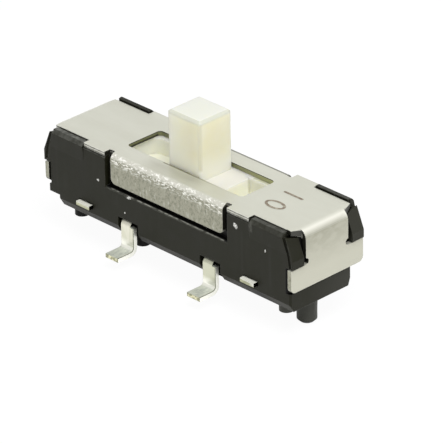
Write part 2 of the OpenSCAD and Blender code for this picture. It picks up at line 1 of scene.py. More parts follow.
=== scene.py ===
# Slide switch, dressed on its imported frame. Metres, Z up, feet standing at Z = 0.
import bpy
import bmesh
import math
import random
from mathutils import Matrix, Vector


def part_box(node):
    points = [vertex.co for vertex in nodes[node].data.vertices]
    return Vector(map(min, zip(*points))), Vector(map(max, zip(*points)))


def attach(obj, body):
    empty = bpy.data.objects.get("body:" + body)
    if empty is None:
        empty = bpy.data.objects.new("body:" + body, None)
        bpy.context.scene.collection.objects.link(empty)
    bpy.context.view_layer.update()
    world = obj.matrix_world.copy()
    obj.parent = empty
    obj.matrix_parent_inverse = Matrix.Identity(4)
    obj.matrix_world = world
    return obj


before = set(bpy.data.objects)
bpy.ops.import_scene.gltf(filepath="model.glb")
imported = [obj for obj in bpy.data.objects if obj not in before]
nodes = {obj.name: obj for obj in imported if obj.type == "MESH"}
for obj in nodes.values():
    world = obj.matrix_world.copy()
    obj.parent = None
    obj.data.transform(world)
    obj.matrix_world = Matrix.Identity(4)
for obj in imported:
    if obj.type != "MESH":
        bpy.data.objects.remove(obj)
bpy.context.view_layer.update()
mm = 0.001
anywhere = (None, None, None)  # an open corner of a box
squarely = (0.9, 0.99)  # how far a face looks along an axis, for none and for full
print("frame loaded:", len(nodes), "parts")


# short names for the node work that every finish needs
def addNode(tree, kind, values=None, **settings):
    node = tree.nodes.new(kind)
    for name, value in settings.items():
        setattr(node, name, value)
    for name, value in (values or {}).items():
        node.inputs[name].default_value = value
    return node


def join(tree, source, target, outName=0, inName=0):
    tree.links.new(source.outputs[outName], target.inputs[inName])


def emptyTree(block):
    block.use_nodes = True
    block.node_tree.nodes.clear()
    return block.node_tree


def startMaterial(name, values):
    mat = bpy.data.materials.new(name)
    tree = emptyTree(mat)
    out = addNode(tree, "ShaderNodeOutputMaterial")
    shader = addNode(tree, "ShaderNodeBsdfPrincipled", values)
    join(tree, shader, out)
    metres = addNode(tree, "ShaderNodeTexCoord")
    place = addNode(tree, "ShaderNodeMapping", {"Scale": (1 / mm, 1 / mm, 1 / mm)})  # in millimetres
    join(tree, metres, place, "Object", "Vector")
    return mat, tree, shader, place


def noise(tree, place, scale, detail=3.0, rough=0.55, stretch=None):
    tex = addNode(tree, "ShaderNodeTexNoise", {"Scale": scale, "Detail": detail, "Roughness": rough})
    if stretch:
        pull = addNode(tree, "ShaderNodeMapping", {"Scale": stretch})
        join(tree, place, pull, 0, "Vector")
        place = pull
    join(tree, place, tex, 0, "Vector")
    return tex


def spread(tree, source, low, high, fromLow=0.0, fromHigh=1.0, outName=0):
    node = addNode(tree, "ShaderNodeMapRange", {
        "From Min": fromLow, "From Max": fromHigh, "To Min": low, "To Max": high})
    join(tree, source, node, outName, "Value")
    return node


def ramp(tree, source, start, full, outName=0):
    # 0 where the source is at the start, 1 where it is full
    return spread(tree, source, 0.0, 1.0, start, full, outName)


def patches(tree, place, start, full, least=0.0, most=1.0, **look):
    # an uneven mask: the least where the noise is at the start, the most where it is full
    return spread(tree, noise(tree, place, **look), least, most, start, full)


def inverse(tree, mask):
    return spread(tree, mask, 1.0, 0.0)


def multiply(tree, first, *others, operation="MULTIPLY"):
    for other in others:
        node = addNode(tree, "ShaderNodeMath", operation=operation)
        join(tree, first, node)
        join(tree, other, node, 0, 1)
        first = node
    return first


def larger(tree, first, *others):
    return multiply(tree, first, *others, operation="MAXIMUM")


def blendColours(tree, factor, first, second):
    # the first colour where the factor is 0, the second where it is 1
    mix = addNode(tree, "ShaderNodeMix", data_type="RGBA")
    for socket, value in ((6, first), (7, second)):  # the mix node's two colour sockets
        if isinstance(value, tuple):
            mix.inputs[socket].default_value = (*value, 1.0)
        else:
            join(tree, value, mix, 2 if value.bl_idname == "ShaderNodeMix" else 0, socket)
    join(tree, factor, mix)
    return mix


def split(tree, source, outName=0):
    parts = addNode(tree, "ShaderNodeSeparateXYZ")
    join(tree, source, parts, outName)
    return parts


def unsigned(tree, parts, axis):
    size = addNode(tree, "ShaderNodeMath", operation="ABSOLUTE")
    join(tree, parts, size, axis)
    return size


def softEdges(tree, radius):
    # rounded edges in the shading, and a mask that is 1 right on an edge
    bevel = addNode(tree, "ShaderNodeBevel", {"Radius": radius}, samples=6)
    geometry = addNode(tree, "ShaderNodeNewGeometry")
    dot = addNode(tree, "ShaderNodeVectorMath", operation="DOT_PRODUCT")
    join(tree, bevel, dot)
    join(tree, geometry, dot, "Normal", 1)
    return bevel, ramp(tree, dot, 0.97, 0.75, "Value")


def facing(tree, axis, start, full):
    # how far a face looks along one axis, or with |, either way along it
    parts = split(tree, addNode(tree, "ShaderNodeNewGeometry"), "True Normal")
    if axis.startswith("|"):
        return ramp(tree, unsigned(tree, parts, axis[1]), start, full)
    return ramp(tree, parts, start, full, axis)


def along(tree, place, axis, start, full):
    # 0 to 1 from one place to another along an axis, in millimetres
    return ramp(tree, split(tree, place), start, full, axis)


def inside(tree, place, low, high, soft=0.03):
    # 1 inside a box given in millimetres; None leaves a side open
    parts = split(tree, place)
    steps = []
    for axis, start, end in zip("XYZ", low, high):
        if start is not None:
            steps.append(ramp(tree, parts, start - soft, start + soft, axis))
        if end is not None:
            steps.append(spread(tree, parts, 1.0, 0.0, end - soft, end + soft, axis))
    return multiply(tree, *steps)


def bendMask(tree):
    # 1 where a sheet turns, 0 on its flat faces
    parts = split(tree, addNode(tree, "ShaderNodeNewGeometry"), "Normal")
    most = larger(tree, *(unsigned(tree, parts, axis) for axis in "XYZ"))
    return ramp(tree, most, 0.97, 0.76)


def crevices(tree, reach):
    # a mask for painted shade: 0 deep in a gap, 1 in the open
    hidden = addNode(tree, "ShaderNodeAmbientOcclusion", {"Distance": reach}, samples=5)
    return ramp(tree, hidden, 0.1, 0.75, "AO")


def bump(tree, shader, source, strength, distance, under=None):
    node = addNode(tree, "ShaderNodeBump", {"Strength": strength, "Distance": distance})
    join(tree, source, node, 0, "Height")
    if under:
        join(tree, under, node, 0, "Normal")
    join(tree, node, shader, 0, "Normal")


def coat(tree, shader, paint, rough=None):
    join(tree, paint, shader, 2, "Base Color")
    if rough:
        join(tree, rough, shader, 0, "Roughness")


housingFinish = {
    "colour": (0.0135, 0.0137, 0.0068),
    "worn": (0.10, 0.10, 0.085),  # edges and corners: wear and a painted highlight
    "chalk": (0.020, 0.020, 0.014),  # faint cloudy patches and draw marks
    "clouds": {"scale": 1.1, "detail": 4.0}, "cloudy": (0.45, 0.75),
    "drawMarks": {"scale": 1.0, "rough": 0.5, "stretch": (2.6, 2.6, 0.45),
                  "start": 0.5, "full": 0.8, "most": 0.55},
    "streaks": ((3.66, 0.035), (4.98, 0.04), (-5.42, 0.03)),  # clearer marks: places along X, half widths
    "streakHeights": (1.3, 2.9), "streakSoft": 0.05,
    "rim": (0.0145, 0.0132, 0.008), "rimShade": (0.003, 0.003, 0.002),  # painted shade, patchy, on the slant along the underside
    "rimBox": (anywhere, (5.5, None, None), 0.1),  # low corner, high corner, softness
    "rimPatches": {"scale": 0.55, "detail": 2.0, "rough": 0.5, "stretch": (1.0, 0.2, 0.2),
                   "start": 0.4, "full": 0.58},
    "lowEndLight": (0.042, 0.042, 0.034), "lowEndLightBox": (anywhere, (None, None, 1.4)),  # painted light on the end face under the band
    "lowEndLightFade": (-0.9, 1.5),
    "farHook": (0.034, 0.034, 0.026), "farHookBox": ((5.58, 0.9, 2.2), (None, None, 3.7)),
    "peg": (0.066, 0.067, 0.057), "pegFrom": (4.4, 4.6),  # the standoffs beside it stay dark
    # painted shade below the housing
    "belowBox": (anywhere, (None, None, 0.5)),
    "dustAndSheen": (0.175, 0.177, 0.16), "dustAndSheenDark": (0.036, 0.037, 0.030),  # dust with a painted sheen, on faces that look up
    "scuffs": {"scale": 5.0, "detail": 5.0, "start": 0.35, "full": 0.65, "least": 0.25},
    "dustAndSheenFade": (-3.0, 4.0), "dustAndSheenRight": 0.5,  # less to the right, where the painted sheen falls off
    "dustAndSheenBack": (((None, 0.6, None), anywhere, 0.3), 0.8),  # and behind, most of all at the left
    "dustAndSheenBackLeft": (((None, 0.6, None), (0.0, None, None), 0.3), 0.05),
    "dustAndSheenBox": (anywhere, (5.56, None, None)),  # none on the right hooks
    "gap": (0.0015, 0.0015, 0.001), "gapReach": 0.22 * mm, "gapsFrom": (-5.0, -5.3),  # painted shade in crevices and gaps, not at the left end
    "gaps": (  # places of painted shade
        ((5.3, -1.135, 2.2), (5.9, -0.9, 3.45), 0.01),  # beside the right neck
        ((5.3, 0.9, 2.2), (5.9, 1.135, 3.45), 0.01),
        ((-2.955, None, 2.18), (-2.6, None, 3.45), 0.01),  # beside the side flanges
        ((2.6, None, 2.18), (2.955, None, 3.45), 0.01),
        ((-2.8, -1.625, 2.1), (2.8, -1.3, 2.3), 0.03),  # back of the near ledge
        ((5.70, None, 1.3), (None, None, 2.24), 0.01),  # behind the arms of the right band
    ),
    # painted highlight along the edge of the near ledge, uneven
    "ledgeHighlight": (0.33, 0.33, 0.29), "ledgeHighlightDark": (0.055, 0.055, 0.045),
    "ledgeHighlightPatches": {"scale": 4.5, "detail": 4.0, "start": 0.42, "full": 0.62},
    "ledgeHighlightLine": ((-2.75, -1.72, 2.17), (2.78, -1.615, 2.26), 0.01),  # painted highlight along the edge of the near ledge
    "roundHighlight": ((4.0, -1.75, 3.02), (4.17, -1.62, 3.5), 0.04),  # painted highlight on the rounded end of the near right cheek
    "edge": 0.03 * mm,
    "grain": {"scale": 14.0, "detail": 4.0}, "grainHeight": 0.35, "grainDepth": 0.006 * mm,
    "roughness": (0.42, 0.62),
}


def housingSkin(tree, place, clouds, s):
    # the bare moulding, with painted shade and light low down: shade on the slant along the underside and
    # below the housing, light on the end face under the band
    base = blendColours(tree, ramp(tree, clouds, *s["cloudy"]), s["colour"], s["chalk"])
    base = blendColours(tree, patches(tree, place, **s["drawMarks"]), base, s["chalk"])
    low, high = s["streakHeights"]
    for x, half in s["streaks"]:
        streak = inside(tree, place, (x - half, None, low), (x + half, None, high), s["streakSoft"])
        base = blendColours(tree, streak, base, s["chalk"])
    # painted shade, patchy, on the slant along the underside
    slant = multiply(tree, facing(tree, "Z", -0.25, -0.55), facing(tree, "Z", -0.98, -0.8))
    slant = multiply(tree, slant, inside(tree, place, *s["rimBox"]))
    rim = blendColours(tree, patches(tree, place, **s["rimPatches"]), s["rimShade"], s["rim"])
    base = blendColours(tree, slant, base, rim)
    # painted light on the end face under the band, more towards the far side
    lowEndLight = multiply(tree, facing(tree, "X", *squarely), along(tree, place, "Y", *s["lowEndLightFade"]))
    lowEndLight = multiply(tree, lowEndLight, inside(tree, place, *s["lowEndLightBox"]))
    base = blendColours(tree, lowEndLight, base, s["lowEndLight"])
    base = blendColours(tree, inside(tree, place, *s["farHookBox"]), base, s["farHook"])
    # painted shade below the housing
    below = inside(tree, place, *s["belowBox"])
    base = blendColours(tree, below, base, s["gap"])
    return blendColours(tree, multiply(tree, below, along(tree, place, "X", *s["pegFrom"])), base, s["peg"])


def housingDustAndSheen(tree, place, scuffs, s):
    # where dust and a painted sheen lie, and their colour
    # less to the right and behind, where the painted sheen falls off
    thin = spread(tree, along(tree, place, "X", *s["dustAndSheenFade"]), 1.0, s["dustAndSheenRight"])
    dustAndSheenMask = multiply(tree, facing(tree, "Z", 0.5, 0.95), thin)
    dustAndSheenMask = multiply(tree, dustAndSheenMask, inside(tree, place, *s["dustAndSheenBox"]))
    for box, level in (s["dustAndSheenBack"], s["dustAndSheenBackLeft"]):
        dustAndSheenMask = multiply(tree, dustAndSheenMask, spread(tree, inside(tree, place, *box), 1.0, level))
    return dustAndSheenMask, blendColours(tree, scuffs, s["dustAndSheenDark"], s["dustAndSheen"])


def makeHousing(s):
    mat, tree, shader, place = startMaterial("blackNylon", {"IOR": 1.46, "Specular IOR Level": 0.13})
    bevel, edge = softEdges(tree, s["edge"])
    clouds = noise(tree, place, **s["clouds"])
    paint = housingSkin(tree, place, clouds, s)
    scuffs = patches(tree, place, **s["scuffs"])
    dustAndSheenMask, dustAndSheen = housingDustAndSheen(tree, place, scuffs, s)
    # dust with a painted sheen on faces that look up
    paint = blendColours(tree, dustAndSheenMask, paint, dustAndSheen)
    # wear and a painted highlight on the edges
    paint = blendColours(tree, multiply(tree, edge, scuffs), paint, s["worn"])
    # painted highlight on the rounded end of the near right cheek
    roundHighlight = multiply(tree, inside(tree, place, *s["roundHighlight"]), scuffs)
    paint = blendColours(tree, roundHighlight, paint, s["worn"])
    # painted shade in crevices and gaps, not at the left end
    bare = larger(tree, crevices(tree, s["gapReach"]), along(tree, place, "X", *s["gapsFrom"]))
    paint = blendColours(tree, bare, s["gap"], paint)
    for gap in s["gaps"]:
        paint = blendColours(tree, inside(tree, place, *gap), paint, s["gap"])
    # painted highlight along the edge of the near ledge
    ledgeHighlight = blendColours(tree, patches(tree, place, **s["ledgeHighlightPatches"]), s["ledgeHighlightDark"], s["ledgeHighlight"])
    paint = blendColours(tree, inside(tree, place, *s["ledgeHighlightLine"]), paint, ledgeHighlight)
    coat(tree, shader, paint, spread(tree, clouds, *s["roughness"]))
    bump(tree, shader, noise(tree, place, **s["grain"]), s["grainHeight"], s["grainDepth"], bevel)
    return mat


coverFinish = {
    "top": (0.635, 0.637, 0.55), "topShade": (0.60, 0.60, 0.512),
    "clouds": {"scale": 0.9, "detail": 5.0, "rough": 0.6, "stretch": (0.5, 1.6, 1.0)}, "cloudy": (0.35, 0.7),
    "knobReflection": (0.23, 0.22, 0.15), "knobReflectionBox": ((-1.3, -1.45, 3.4), (1.0, -0.75, 3.6), 0.35),  # painted reflection of the knob, beside it
    "shade": (0.575, 0.57, 0.48), "shaded": ((3.0, 0.5, 3.4), (4.2, 1.3, 3.6), 0.35),
    # painted shade: the side flanges darker than the top, with a speckle
    "side": (0.29, 0.287, 0.215), "sideDark": (0.15, 0.152, 0.10), "sideBright": (0.50, 0.50, 0.42),
    "speckle": {"scale": 9.0, "detail": 6.0, "rough": 0.75}, "speckled": (0.36, 0.52),
    "scratches": {"scale": 7.0, "detail": 4.0, "rough": 0.6, "stretch": (2.2, 1.0, 0.5),
                  "start": 0.58, "full": 0.7, "most": 0.8},
    "flakeGlint": (1.05, 1.04, 0.97), "flakesRise": (3.02, 3.34),  # painted glints of scales just under the bend
    "flakeLean": math.radians(38), "flakeStretch": (1.0, 1.0, 2.6),
    "flakePatches": {"scale": 7.5, "rough": 0.6, "start": 0.50, "full": 0.60},
    "end": (0.475, 0.47, 0.385), "endShade": (0.325, 0.32, 0.25), "endFade": (3.15, 1.9),  # painted shade on each end, darker near the top
    "endPatch": (0.485, 0.48, 0.395),
    "endPatches": {"scale": 2.2, "detail": 5.0, "rough": 0.6, "stretch": (1.0, 1.0, 1.8),
                   "start": 0.45, "full": 0.62, "most": 0.35},
    "turn": (0.66, 0.65, 0.57),  # painted highlight where the sheet bends over the sides
    "endTurn": (0.88, 0.87, 0.78), "endTurnLow": (0.43, 0.42, 0.335),  # and over the ends, weaker low down and on the near side
    "between": ((-5.5, None, None), (5.5, None, None)), "endTurnRise": (3.2, 3.42), "endTurnFar": (0.4, 1.0),
    # painted highlight along the edges, uneven
    "edgeShine": (0.80, 0.80, 0.72), "edgeShineUneven": (0.3, 0.9, 0.4, 0.6),
    # cut faces: near black is painted shade; the pale and bright lines up through the sheet are shear zones
    # with painted reflection
    "cut": (0.025, 0.025, 0.018), "cutPale": (0.42, 0.42, 0.36), "cutBright": (0.80, 0.80, 0.72),
    "cutLayers": ((0.0, "cut"), (0.28, "cut"), (0.42, "cutPale"), (0.58, "cutPale"), (0.68, "cut"),
                  (0.8, "cut"), (0.92, "cutBright")),  # up through the sheet
    "cutRise": (3.33, 3.5), "cutBox": ((None, -1.68, 3.3), (None, 1.68, 3.6)),
    # painted shade on the cut walls of the slot, lighter to the right, darkest at the top
    "olive": (0.19, 0.198, 0.10), "oliveRight": (0.47, 0.475, 0.26), "oliveDark": (0.05, 0.05, 0.03),
    "oliveFade": (0.9, 2.7), "oliveTop": (0.78, 0.86),
    "slotBox": ((-3.0, -0.9, 3.2), (3.0, 0.9, 3.6)),  # cut walls of the slot
    "flangeBox": ((-2.72, None, None), (2.72, None, None), 0.01),  # the length of the side flanges
    "flangeEnds": ((-4.0, None, None), (4.0, None, 3.4)),
    "leftBand": (anywhere, (-5.0, None, None)), "underArm": (anywhere, (-5.7, -1.4, 1.5), 0.02),
    "necks": ((None, -1.2, 2.1), (None, 1.2, 3.6)), "middle": ((-5.0, None, None), (5.0, None, None)),
    # painted shade in the corners beside the right neck
    "corners": (((5.5, None, 3.0), (5.95, -1.0, 3.6), 0.01), ((5.5, 1.0, 3.0), (5.95, None, 3.6), 0.01)),
    # painted dark reflection along the far bend, and painted shade along the slot's near edge
    "farEdge": (0.12, 0.12, 0.085), "farLine": ((-2.72, 1.39, 3.3), (2.72, 1.6, 3.6), 0.012),
    "slotEdge": (0.17, 0.155, 0.095), "slotLine": ((-0.95, -0.845, 3.4), (2.2, -0.7, 3.6), 0.012),
    "slotLineFade": (1.9, 0.3),
    "edge": 0.022 * mm,
    "grain": {"scale": 16.0, "detail": 6.0, "rough": 0.7}, "grainHeight": 0.5, "grainDepth": 0.008 * mm,
    "grainTopSide": (0.12, 0.9),  # deeper on the flanges
    "roughness": (0.30, 0.42),
    "metal": 0.35,
}


def coverTop(tree, place, clouds, s):
    top = blendColours(tree, ramp(tree, clouds, *s["cloudy"]), s["top"], s["topShade"])
    # painted reflection of the knob on the top beside it
    knobReflectionMask = multiply(tree, inside(tree, place, *s["knobReflectionBox"]), spread(tree, clouds, 0.6, 1.0, 0.3, 0.6))
    top = blendColours(tree, knobReflectionMask, top, s["knobReflection"])
    return blendColours(tree, inside(tree, place, *s["shaded"]), top, s["shade"])


def coverSide(tree, place, speckle, s):
    # painted shade with a matt speckle, and painted glints of scales near the bend
    side = blendColours(tree, ramp(tree, speckle, *s["speckled"]), s["sideDark"], s["side"])
    side = blendColours(tree, patches(tree, place, **s["scratches"]), side, s["sideBright"])
    leaning = addNode(tree, "ShaderNodeMapping", {
        "Rotation": (0.0, s["flakeLean"], 0.0), "Scale": s["flakeStretch"]})
    join(tree, place, leaning, 0, "Vector")
    rise = along(tree, place, "Z", *s["flakesRise"])
    scales = multiply(tree, patches(tree, leaning, **s["flakePatches"]), rise)
    return scales, blendColours(tree, scales, side, s["flakeGlint"])


def coverEnd(tree, place, s):
    # painted shade on each end, darker near the top, with uneven patches
    end = blendColours(tree, along(tree, place, "Z", *s["endFade"]), s["endShade"], s["end"])
    return blendColours(tree, patches(tree, place, **s["endPatches"]), end, s["endPatch"])


def coverBends(tree, place, skin, scales, s):
    # painted highlight where the sheet bends
    turn = bendMask(tree)
    between = inside(tree, place, *s["between"])
    farEnd = along(tree, place, "Y", *s["endTurnFar"])
    high = larger(tree, along(tree, place, "Z", *s["endTurnRise"]), farEnd)
    endBend = blendColours(tree, high, s["endTurnLow"], s["endTurn"])
    skin = blendColours(tree, turn, skin, blendColours(tree, between, endBend, s["turn"]))
    # painted glints of the scales where the sheet bends
    return blendColours(tree, multiply(tree, scales, turn, between), skin, s["flakeGlint"])


def shearedColours(tree, place, s):
    # shear zones with painted reflection and shade: bright and pale lines between dark ones on the sides;
    # painted shade on the olive walls of the slot
    height = along(tree, place, "Z", *s["cutRise"])
    layers = addNode(tree, "ShaderNodeValToRGB")
    join(tree, height, layers)
    stops = layers.color_ramp.elements
    while len(stops) < len(s["cutLayers"]):
        stops.new(0.5)
    for stop, (at, name) in zip(stops, s["cutLayers"]):
        stop.position = at
        stop.color = (*s[name], 1.0)
    sheared = blendColours(tree, facing(tree, "|Y", *squarely), s["cut"], layers)
    wall = blendColours(tree, along(tree, place, "X", *s["oliveFade"]), s["olive"], s["oliveRight"])
    wall = blendColours(tree, ramp(tree, height, *s["oliveTop"]), wall, s["oliveDark"])
    inSlot = inside(tree, place, *s["slotBox"])
    return inSlot, blendColours(tree, inSlot, sheared, wall)


def cutMasks(tree, place, inSlot, s):
    # the sheet's upright edges, the ends of the flanges, the left band's inner faces and the necks' sides
    flange = multiply(tree, inside(tree, place, *s["flangeBox"]), inverse(tree, inSlot))
    upright = multiply(tree, facing(tree, "|Z", 0.4, 0.2), inside(tree, place, *s["cutBox"]))
    upright = multiply(tree, upright, inverse(tree, flange))
    flangeEnd = multiply(tree, facing(tree, "|X", *squarely), inside(tree, place, *s["flangeEnds"]))
    behind = multiply(tree, facing(tree, "X", *squarely), inside(tree, place, *s["leftBand"]))
    neckSide = multiply(tree, facing(tree, "|Y", 0.5, 0.7), inside(tree, place, *s["necks"]))
    neckSide = multiply(tree, neckSide, inverse(tree, inside(tree, place, *s["middle"])))
    return upright, flangeEnd, behind, neckSide


def coverLines(tree, place, skin, s):
    # painted shade in the corners beside the right neck, a painted dark reflection along the far flange, and
    # painted shade along the slot
    for box in s["corners"]:
        corner = multiply(tree, inside(tree, place, *box), facing(tree, "Z", 0.93, 0.8))
        skin = blendColours(tree, corner, skin, s["cut"])
    flat = facing(tree, "Z", 0.5, 0.8)
    farLine = multiply(tree, inside(tree, place, *s["farLine"]), flat)
    skin = blendColours(tree, farLine, skin, s["farEdge"])
    fade = along(tree, place, "X", *s["slotLineFade"])
    slotLine = multiply(tree, inside(tree, place, *s["slotLine"]), fade, flat)
    return blendColours(tree, slotLine, skin, s["slotEdge"])


def makeCover(s):
    mat, tree, shader, place = startMaterial("satinSteel", {"Metallic": s["metal"]})
    bevel, edge = softEdges(tree, s["edge"])
    clouds = noise(tree, place, **s["clouds"])
    speckle = noise(tree, place, **s["speckle"])
    toSide = facing(tree, "|Y", 0.85, 0.98)
    scales, side = coverSide(tree, place, speckle, s)
    skin = blendColours(tree, toSide, coverTop(tree, place, clouds, s), side)
    skin = blendColours(tree, facing(tree, "|X", 0.85, 0.98), skin, coverEnd(tree, place, s))
    skin = coverBends(tree, place, skin, scales, s)
    inSlot, sheared = shearedColours(tree, place, s)
    cuts = cutMasks(tree, place, inSlot, s)
    skin = blendColours(tree, cuts[0], skin, sheared)
    # painted shade on the ends of the flanges, the left band's inner faces, the necks' sides and under the
    # left arm
    for cut in (*cuts[1:], inside(tree, place, *s["underArm"])):
        skin = blendColours(tree, cut, skin, s["cut"])
    skin = coverLines(tree, place, skin, s)
    # painted highlight along the edges, uneven, none on the cut faces
    shine = multiply(tree, edge, spread(tree, speckle, *s["edgeShineUneven"]))
    for cut in cuts:
        shine = multiply(tree, shine, inverse(tree, cut))
    paint = blendColours(tree, shine, skin, s["edgeShine"])
    grain = noise(tree, place, **s["grain"])
    coat(tree, shader, paint, spread(tree, grain, *s["roughness"]))
    relief = multiply(tree, grain, spread(tree, toSide, *s["grainTopSide"]))
    bump(tree, shader, relief, s["grainHeight"], s["grainDepth"], bevel)
    return mat


sliderFinish = {
    "colour": (0.86, 0.83, 0.62), "pale": (0.90, 0.89, 0.78),
    "clouds": {"scale": 1.5, "detail": 4.0, "start": 0.4, "full": 0.75, "most": 0.5},
    "left": (1.0, 0.98, 0.79), "leftFade": (0.35, -0.6),  # painted light: lighter to the left
    "low": (0.985, 0.96, 0.80), "lowFade": (4.3, 3.6),  # and near the cover
    # painted shade on faces that look up, more low down and most at the right
    "top": (0.82, 0.83, 0.75), "topFrom": (3.4, 4.0),
    "lowTop": (0.77, 0.755, 0.69), "deckRight": (0.62, 0.62, 0.46),
    # painted light and shade in the hollow: lighter at the left, darker to the right
    "hollow": (0.94, 0.935, 0.79), "hollowRight": (0.86, 0.85, 0.72), "hollowTop": (3.27, 3.2),
    "rightFrom": (1.78, 1.84),
    "above": (3.2, 3.3),  # painted light: edges over the hollow are pale
    "corner": ((0.45, None, 3.6), (None, -0.4, 5.3)),  # no pale line down this edge
    "cornerShade": (0.69, 0.67, 0.51), "cornerLine": ((0.70, None, 3.7), (None, -0.66, 5.45), 0.05),
    "edge": 0.035 * mm, "edgePaint": (0.79, 0.79, 0.69), "paleEdge": 0.22 * mm,
    # painted shade on the rounded top edge
    "topEdge": (0.68, 0.69, 0.59), "topEdgeRise": (5.36, 5.46),
    "grain": {"scale": 16.0}, "grainHeight": 0.3, "grainDepth": 0.004 * mm,
    "roughness": (0.42, 0.58),
    "glow": 0.75, "glowScale": 0.55 * mm, "glowColours": (1.0, 0.95, 0.75),
}


def makeSlider(s):
    mat, tree, shader, place = startMaterial("ivoryResin", {
        "IOR": 1.49, "Specular IOR Level": 0.35, "Subsurface Weight": s["glow"],
        "Subsurface Scale": s["glowScale"], "Subsurface Radius": s["glowColours"]})
    bevel, edge = softEdges(tree, s["edge"])
    base = blendColours(tree, patches(tree, place, **s["clouds"]), s["colour"], s["pale"])
    toRight = along(tree, place, "X", *s["rightFrom"])
    base = blendColours(tree, along(tree, place, "Z", *s["lowFade"]), base, s["low"])
    # painted light on the near face, lighter to the left
    nearFace = multiply(tree, facing(tree, "Y", -0.9, -0.99), along(tree, place, "X", *s["leftFade"]))
    base = blendColours(tree, nearFace, base, s["left"])
    # painted shade on faces that look up
    deck = blendColours(tree, toRight, s["lowTop"], s["deckRight"])
    tops = blendColours(tree, along(tree, place, "Z", *s["topFrom"]), deck, s["top"])
    base = blendColours(tree, facing(tree, "Z", 0.6, 0.95), base, tops)
    # painted light and shade in the hollow
    hollow = blendColours(tree, toRight, s["hollow"], s["hollowRight"])
    base = blendColours(tree, along(tree, place, "Z", *s["hollowTop"]), base, hollow)
    nearEdge = softEdges(tree, s["paleEdge"])[1]  # painted light: paler near the edges, where light comes through
    besideCorner = inverse(tree, inside(tree, place, *s["corner"]))
    above = multiply(tree, along(tree, place, "Z", *s["above"]), besideCorner)
    base = blendColours(tree, multiply(tree, nearEdge, above), base, s["pale"])
    base = blendColours(tree, inside(tree, place, *s["cornerLine"]), base, s["cornerShade"])
    paint = blendColours(tree, multiply(tree, edge, above), base, s["edgePaint"])
    # painted shade on the rounded top edge
    topEdge = multiply(tree, along(tree, place, "Z", *s["topEdgeRise"]), facing(tree, "Z", 0.95, 0.8))
    paint = blendColours(tree, topEdge, paint, s["topEdge"])
    grain = noise(tree, place, **s["grain"])
    coat(tree, shader, paint, spread(tree, grain, *s["roughness"]))
    bump(tree, shader, grain, s["grainHeight"], s["grainDepth"], bevel)
    return mat


terminalFinish = {
    "colour": (0.665, 0.65, 0.55), "dull": (0.56, 0.56, 0.45),
    "rubs": {"scale": 3.0, "rough": 0.5, "stretch": (3.0, 1.0, 0.4),  # lengthwise
             "start": 0.42, "full": 0.6},
    "right": (0.50, 0.505, 0.39), "rightFade": (-1.0, 1.0),
    "sideFace": (0.92, 0.92, 0.84),  # sheared sides
    "sideHigh": (0.004, 0.004, 0.003), "shoulder": 1.0,  # painted shade above the shoulder
    "seam": (0.20, 0.21, 0.145), "seamAt": (-1.64, 2.36), "seamWide": 0.04,  # line beside a sheared side
    "seamPast": 0.01, "seamSoft": 0.008,
    "upward": (0.68, 0.71, 0.61), "upwardDark": (0.47, 0.50, 0.44),  # painted reflection: cooler on faces that look up
    "soleRubs": {"scale": 5.0, "detail": 4.0, "rough": 0.6, "stretch": (1.6, 0.8, 1.0),
                 "start": 0.45, "full": 0.62, "most": 0.75},
    "turn": (0.80, 0.80, 0.72), "turnFall": (0.54, 0.34), "turnOut": (-2.15, -2.0),  # painted highlight on the bend above the foot
    # painted shade low on a stub, mottled toward the right
    "stub": (0.64, 0.645, 0.42), "stubLow": (0.38, 0.385, 0.22),
    "stubFrom": (3.45, 3.5), "stubRise": (1.05, 1.10),
    "clouds": {"scale": 4.0, "detail": 4.0}, "mottle": (0.2, 1.0, 0.35, 0.6),
    "stubHighlight": (0.90, 0.90, 0.80), "stubTop": (1.14, 1.18),  # painted highlight along the top of a stub
    "stubRight": (4.1, 4.28), "stubRightRise": (1.06, 1.10),  # and at its right
    "cut": (0.02, 0.02, 0.012),  # painted shade on the sheared ends of the tie stubs
    "tip": (0.62, 0.60, 0.40), "tipDark": (0.20, 0.20, 0.12),  # cut ends of the feet
    "tipFrom": (-2.36, -2.38), "tipPatches": {"scale": 7.0, "start": 0.42, "full": 0.6},
    "edge": 0.02 * mm,
    "grain": {"scale": 12.0}, "grainHeight": 0.3, "grainDepth": 0.005 * mm,
    "roughness": (0.26, 0.44),
    "metal": (0.6, 0.1),  # less on faces that look up
}


def terminalBlade(tree, place, up, s):
    # blade and foot, then the colour of their sheared sides
    base = blendColours(tree, patches(tree, place, **s["rubs"]), s["colour"], s["dull"])
    base = blendColours(tree, along(tree, place, "X", *s["rightFade"]), base, s["right"])
    upward = blendColours(tree, patches(tree, place, **s["soleRubs"]), s["upward"], s["upwardDark"])
    # painted highlight on the bend above the foot
    turn = multiply(tree, along(tree, place, "Z", *s["turnFall"]), along(tree, place, "Y", *s["turnOut"]))
    base = blendColours(tree, turn, base, s["turn"])
    # painted reflection on faces that look up
    base = blendColours(tree, up, base, upward)
    for right in s["seamAt"]:
        low, high = (right - s["seamWide"], None, None), (right + s["seamPast"], None, s["shoulder"])
        base = blendColours(tree, inside(tree, place, low, high, s["seamSoft"]), base, s["seam"])
    # painted shade on the sheared sides above the shoulder
    overShoulder = along(tree, place, "Z", s["shoulder"], s["shoulder"] + 0.03)
    return base, blendColours(tree, overShoulder, s["sideFace"], s["sideHigh"])


